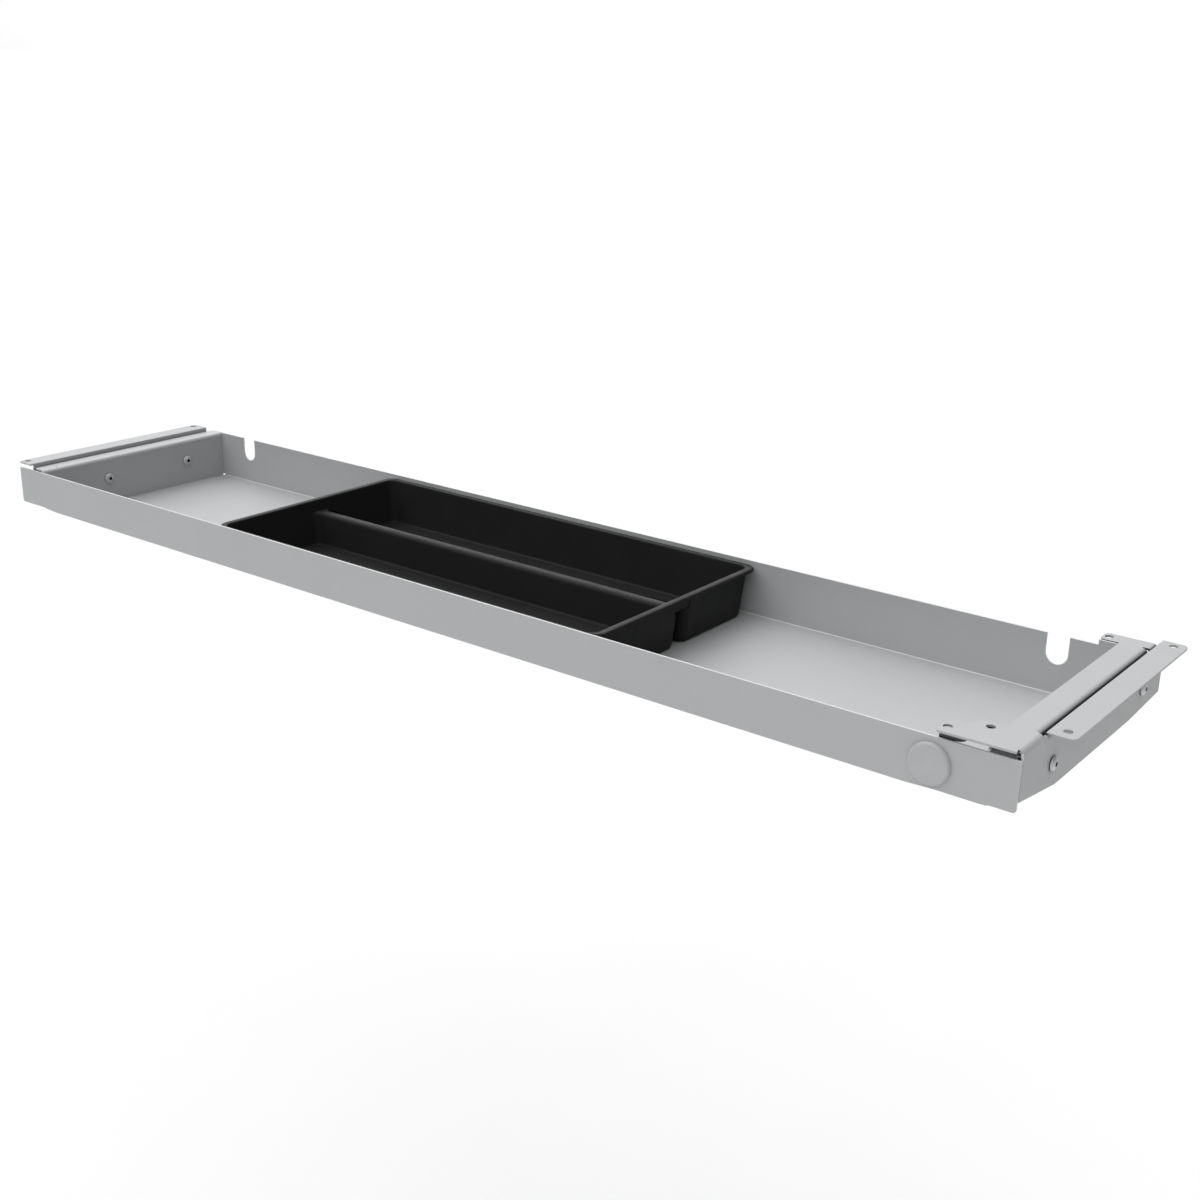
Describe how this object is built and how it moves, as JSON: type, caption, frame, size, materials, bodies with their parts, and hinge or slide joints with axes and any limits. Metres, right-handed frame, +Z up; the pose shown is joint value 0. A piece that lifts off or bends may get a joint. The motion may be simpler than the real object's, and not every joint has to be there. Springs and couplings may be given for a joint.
{
  "type": "under desk pen drawer",
  "caption": "Shallow sheet-metal drawer that hangs under a desk top on telescopic slides, with screw-on end brackets and a loose two-bin pen tray.",
  "frame": {"origin": "on the underside of the desk top, midway along the front panel, in the plane of the panel's front face", "axes": "+X to the user's right along the panel, +Y away from the user into the desk, +Z up; the part hangs below z = 0"},
  "size_m": [1.0169, 0.2422, 0.0495],
  "materials": {
    "tray_paint": "satin light grey powder coat",
    "bracket_paint": "satin light grey powder coat",
    "slide_steel": "bright zinc-plated steel",
    "screw_steel": "zinc-plated steel",
    "cage_steel": "plain pressed steel strip",
    "ball_steel": "polished steel",
    "stop_rubber": "black rubber",
    "cap_plastic": "light grey satin plastic",
    "pen_tray_plastic": "black moulded plastic, satin"
  },
  "bodies": {
    "fixed_frame": {"left_bracket": "bracket_paint", "right_bracket": "bracket_paint", "right_top_plate": "bracket_paint", "left_slide_outer": "slide_steel", "right_slide_outer": "slide_steel", "left_bracket_screws": "screw_steel", "right_bracket_screws": "screw_steel", "left_outer_nuts": "slide_steel", "right_outer_nuts": "slide_steel", "left_end_stop": "stop_rubber", "right_end_stop": "stop_rubber", "right_bracket_washers": "slide_steel", "stop_bumper": "stop_rubber"},
    "slide_middles": {"left_slide_middle": "slide_steel", "right_slide_middle": "slide_steel"},
    "outer_cages": {"left_outer_cage": "cage_steel", "right_outer_cage": "cage_steel", "left_outer_balls": "ball_steel", "right_outer_balls": "ball_steel"},
    "inner_cages": {"left_inner_cage": "cage_steel", "right_inner_cage": "cage_steel", "left_inner_balls": "ball_steel", "right_inner_balls": "ball_steel"},
    "drawer": {"drawer_tray": "tray_paint", "front_panel": "tray_paint", "left_slide_inner": "slide_steel", "right_slide_inner": "slide_steel", "left_drawer_screws": "screw_steel", "right_drawer_screws": "screw_steel", "left_spacers": "slide_steel", "right_spacers": "slide_steel", "left_inner_nuts": "slide_steel", "right_inner_nuts": "slide_steel", "lock_hole_cap": "cap_plastic", "cap_clip": "stop_rubber", "rear_wall": "tray_paint", "left_side_wall": "tray_paint", "right_side_wall": "tray_paint", "front_fold": "tray_paint"},
    "pen_tray": {"pen_tray": "pen_tray_plastic"}
  },
  "joints": [
    {"name": "drawer_slide", "type": "slide", "parent": "fixed_frame", "child": "drawer", "axis": [0, -1, 0], "range_m": [0, 0.178]},
    {"name": "middles_slide", "type": "slide", "parent": "fixed_frame", "child": "slide_middles", "axis": [0, -1, 0], "range_m": [0, 0.089]},
    {"name": "outer_cages_slide", "type": "slide", "parent": "fixed_frame", "child": "outer_cages", "axis": [0, -1, 0], "range_m": [0, 0.0445]},
    {"name": "inner_cages_slide", "type": "slide", "parent": "fixed_frame", "child": "inner_cages", "axis": [0, -1, 0], "range_m": [0, 0.1335]},
    {"name": "pen_tray_slide", "type": "slide", "parent": "drawer", "child": "pen_tray", "axis": [1, 0, 0], "range_m": [-0.24, 0.28]}
  ],
  "couplings": [
    {"joint": "middles_slide", "follows": "drawer_slide", "ratio": 0.5},
    {"joint": "outer_cages_slide", "follows": "drawer_slide", "ratio": 0.25},
    {"joint": "inner_cages_slide", "follows": "drawer_slide", "ratio": 0.75}
  ]
}
